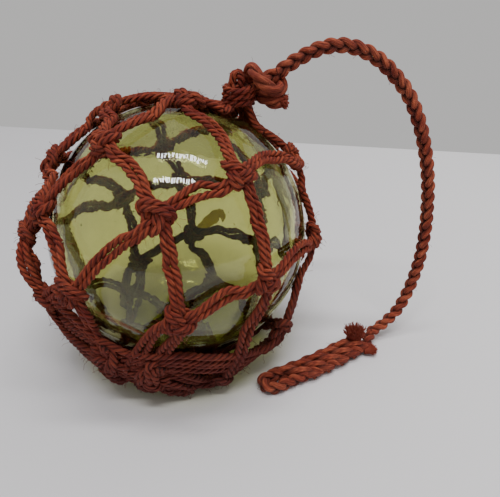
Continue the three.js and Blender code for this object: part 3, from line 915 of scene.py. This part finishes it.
# The rope's knot: it runs through the gathered loops of the net, comes back over them in a bight
# and takes a turn round its own standing part. The strands have opened there to a long soft lay.
knot_route = [
    (36.5, 14.5, 126.5), (34.2, 17.8, 132.5), (34.9, 16.5, 138.4), (36.6, 11.6, 140.8), (38.6, 6.6, 138.2),
    (42.8, 5.2, 134.6), (47.0, 6.6, 132.6), (49.4, 10.4, 133.2), (48.4, 15.4, 136.0), (44.6, 17.2, 136.8),
    (40.8, 16.8, 133.0), (40.6, 11.6, 129.2), (44.6, 8.0, 127.4), (49.2, 8.0, 127.2),
]
turns_line = smooth_line(knot_route, rope_step)
opened_lay = 22
swollen = 1 + 0.08 * np.sin(np.linspace(0, 9, len(turns_line)))
rope_turns = lay_cord(turns_line, opened_lay, (0.7, -0.7, 0), (0, 0, 1), thick=swollen)
laid_rope = {"strand_radius": 1.62 * MM, "half_width": 1.5 * MM, "half_height": 1.5 * MM, "strands": 3,
             "sides": 12, "material": rope_red}
knot_turns = corded("rope_knot_turns", [rope_turns], **laid_rope)
knot_standing = corded("rope_knot_standing_part", [knot_side], **plait)
for piece in (knot_turns, knot_standing):
    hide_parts("rope_knot")
    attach(piece, "root")

# The splice: the rope turns back round a closed eye, lies beside itself and its strands are tucked
# across both, each under and over. It lies flat on the table, flattened a little by its own weight.
splice_piece = corded("eye_splice_plait", [splice_side], **plait)
tuck_route = [(-10, 5.0, 2.2), (-6, 4.2, 5.0), (0, 0, 6.0), (6, -4.2, 5.0), (10, -5.0, 2.2)]
tuck_lay = 16
tucks = []
for middle in (17, 26, 35, 44, 53):
    over = smooth_line([in_splice(middle + run, across, height)
                        for run, across, height in tuck_route], rope_step)
    tucks.append(lay_cord(over, tuck_lay, (0, 0, 1), (0, 0, 1), strands=2))
tucked_strands = corded("eye_splice_tucks", tucks, strands=2, strand_radius=1.6 * MM, half_width=1.1 * MM,
                        half_height=0.8 * MM, sides=12, material=rope_red)
for piece in (splice_piece, tucked_strands):
    press_on_table(piece)
    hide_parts("eye_splice")
    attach(piece, "root")

# Loose fibres: sisal sheds hairs all along, and the rope's cut ends have opened into brushes.
frayed_fibre, tree = new_material("frayed sisal fibre")
shade = add(tree, "ShaderNodeAttribute", {"attribute_name": "crest"}, out="Fac")
tone = add(tree, "ShaderNodeMix", {"data_type": "RGBA"}, {
    "Factor": shade, "A": linear("#2E100E"), "B": linear("#9A4530")}, "Result")
finish_with(tree, {"Base Color": tone, "Roughness": 0.8})

# At the frayed ends the bare fibres are matt, and each is too fine to show a pattern
frayed_dark, tree = new_material("frayed ends of dyed sisal")
finish_with(tree, {"Base Color": linear("#923C29"), "Roughness": 0.9})


def fibres_tree():
    """Bent hairs scattered by chance over a surface, standing out of it every way."""
    tree, given = new_tree("loose fibres", (
        ("Density", "Float", 10000.0), ("Length", "Float", 0.004), ("Fibre Radius", "Float", 0.00007),
        ("Seed", "Int", 0)))
    points = add(tree, "GeometryNodeDistributePointsOnFaces", links={
        "Mesh": given["Geometry"], "Density": given["Density"], "Seed": given["Seed"]}).outputs
    stray = add(tree, "FunctionNodeRandomValue", {"data_type": "FLOAT_VECTOR"}, {
        "Min": (-0.9, -0.9, -0.9), "Max": (0.9, 0.9, 0.9), "Seed": 3}, "Value")
    lean = add(tree, "ShaderNodeVectorMath", {"operation": "ADD"}, {0: points["Normal"], 1: stray}, 0)
    facing = add(tree, "FunctionNodeAlignRotationToVector", {"axis": "Z"}, {"Vector": lean}, 0)
    share = add(tree, "FunctionNodeRandomValue", {"data_type": "FLOAT"}, {
        "Min": 0.25, "Max": 1.0, "Seed": 5}, "Value")
    size = add(tree, "ShaderNodeMath", {"operation": "MULTIPLY"}, {0: share, 1: given["Length"]}, 0)
    hair = add(tree, "GeometryNodeCurvePrimitiveLine", links={"End": (0, 0, 1)}, out=0)
    hair = add(tree, "GeometryNodeResampleCurve", links={"Curve": hair, "Count": 7}, out=0)
    placed = add(tree, "GeometryNodeInstanceOnPoints", links={
        "Points": points["Points"], "Instance": hair, "Rotation": facing, "Scale": size}, out=0)
    whole = add(tree, "GeometryNodeRealizeInstances", links={"Geometry": placed}, out=0)

    # Each hair bends more, and thins, towards its tip
    along = add(tree, "GeometryNodeSplineParameter", out="Factor")
    curl = add(tree, "ShaderNodeTexNoise", links={"Scale": 260.0, "Detail": 1.0}, out="Color")
    curl = add(tree, "ShaderNodeVectorMath", {"operation": "SUBTRACT"}, {0: curl, 1: (0.5, 0.5, 0.55)}, 0)
    limber = add(tree, "ShaderNodeMath", {"operation": "MULTIPLY"}, {0: along, 1: along}, 0)
    reach = add(tree, "ShaderNodeMath", {"operation": "MULTIPLY"}, {0: given["Length"], 1: 2.6}, 0)
    bend = add(tree, "ShaderNodeMath", {"operation": "MULTIPLY"}, {0: limber, 1: reach}, 0)
    offset = add(tree, "ShaderNodeVectorMath", {"operation": "SCALE"}, {0: curl, "Scale": bend}, 0)
    curved = add(tree, "GeometryNodeSetPosition", links={"Geometry": whole, "Offset": offset}, out=0)
    thinning = add(tree, "ShaderNodeMath", {"operation": "MULTIPLY_ADD"}, {0: along, 1: -0.6, 2: 1.0}, 0)
    sized = add(tree, "GeometryNodeSetCurveRadius", links={"Curve": curved, "Radius": thinning}, out=0)
    ring = add(tree, "GeometryNodeCurvePrimitiveCircle", links={
        "Resolution": 3, "Radius": given["Fibre Radius"]}, out=0)
    tube = add(tree, "GeometryNodeCurveToMesh", links={
        "Curve": sized, "Profile Curve": ring, "Fill Caps": True}, out=0)
    tint = add(tree, "ShaderNodeTexNoise", links={"Scale": 70.0}, out="Fac")
    stored = add(tree, "GeometryNodeStoreNamedAttribute", {"data_type": "FLOAT", "domain": "POINT"}, {
        "Geometry": tube, "Name": "crest", "Value": tint}, 0)
    return close_tree(tree, stored, given["Material"])


loose_fibres = fibres_tree()
for name, carrier, density, length, radius, node in (
        ("fibres_on_upper_net", net_pieces[0], 15000, 4.5, 0.08, "net"),
        ("fibres_on_middle_net", net_pieces[1], 15000, 4.5, 0.08, "net"),
        ("fibres_on_lower_net", net_pieces[2], 11000, 4.5, 0.08, "net"),
        ("fibres_on_draw_cords", net_pieces[3], 11000, 4.5, 0.08, "net"),
        ("fibres_on_tail_rope", tail_rope, 7000, 3.5, 0.06, "tail_rope"),
        ("fibres_on_splice", splice_piece, 16000, 4.0, 0.07, "eye_splice"),
        ("fibres_on_rope_knot", knot_turns, 14000, 3.0, 0.06, "rope_knot")):
    fibres = grown(name, carrier.data.copy(), loose_fibres, density=float(density), length=length * MM,
                   fibre_radius=radius * MM, seed=4, material=frayed_fibre)
    press_on_table(fibres)
    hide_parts(node)
    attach(fibres, "root")


# Bits of fibre that cling to the glass, and three long dark hairs that lie across its front
dusty_skin = bmesh.new()
bmesh.ops.create_icosphere(dusty_skin, subdivisions=4, radius=glass_radius * MM)
dusty_mesh = bpy.data.meshes.new("dusty_skin")
bmesh.ops.translate(dusty_skin, verts=dusty_skin.verts, vec=Vector(ball_centre) * MM)
dusty_skin.to_mesh(dusty_mesh)
dusty_skin.free()
clinging = grown("fibres_on_glass", dusty_mesh, loose_fibres, density=3200.0, length=1.7 * MM,
                 fibre_radius=0.08 * MM, seed=9, material=frayed_fibre)
hair_lay, hair_step, off_glass = 50, 1.5, 0.15
hair_route = np.array(((-30, -53.5, 56.5), (-22, -57.8, 55.2), (-14, -59.6, 51.4), (-7, -59.8, 46.2)))
hair_lines = []
for lift in ((0, 0, 0), (0.4, -0.2, -1.1), (1.6, 0, -2.6)):
    line = smooth_line(hair_route + lift, hair_step)
    line = ball_centre + unit(line - ball_centre) * (glass_radius + off_glass)
    hair_lines.append(lay_cord(line, hair_lay, (0, 0, 1), strands=1))
long_hairs = corded("long_hairs_on_glass", hair_lines, strands=1, strand_radius=0.12 * MM, half_width=0.0,
                    half_height=0.0, sides=4, material=frayed_dark)
for piece in (clinging, long_hairs):
    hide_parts("net")
    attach(piece, "root")


brush_step = 1.3


def brush(name, root, way, count, reach, spread, root_radius, seed):
    """A cut end of rope, opened into single fibres."""
    chance = random.Random(seed)
    root, way = np.array(root), unit(np.array(way, float))
    level = unit(np.cross(way, (0.3, 0.9, 0.1)))
    other = np.cross(way, level)
    cords = []
    for _ in range(count):
        angle, far = chance.uniform(0, 2 * math.pi), math.sqrt(chance.random())
        out = level * math.cos(angle) + other * math.sin(angle)
        length = reach * chance.uniform(0.7, 1.05) * (1.08 - 0.25 * far)
        kink = np.array([chance.uniform(-1, 1) for _ in range(3)])
        points = [root + out * far * root_radius * 0.9, root + way * length * 0.4 + out * far * root_radius,
                  root + way * length * 0.75 + out * far * (root_radius + spread * 0.45) + kink * 0.4,
                  root + way * length + out * far * (root_radius + spread) + kink * 0.9]
        cords.append(lay_cord(smooth_line(points, brush_step), hair_lay, other, other, strands=1))
    piece = corded(name, cords, strands=1, strand_radius=0.17 * MM, half_width=0.0, half_height=0.0,
                   sides=3, material=frayed_dark)
    press_on_table(piece)
    return piece


tuft = brush("splice_tuft", in_splice(12, -0.6, 4.5), (-0.05, 0.12, 1),
             count=520, reach=10.2, spread=2.4, root_radius=3.6, seed=3)
cut_end = brush("splice_cut_end", in_splice(11, 6.0, 2.9), (0.85, 0.1, 0.05),
                count=200, reach=7, spread=0.6, root_radius=1.9, seed=5)
knot_end = brush("rope_knot_cut_end", knot_route[-1], (0.9, -0.1, 0.0),
                 count=240, reach=3.2, spread=0.4, root_radius=2.7, seed=8)
for piece, node in ((tuft, "eye_splice"), (cut_end, "eye_splice"), (knot_end, "rope_knot")):
    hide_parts(node)
    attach(piece, "root")
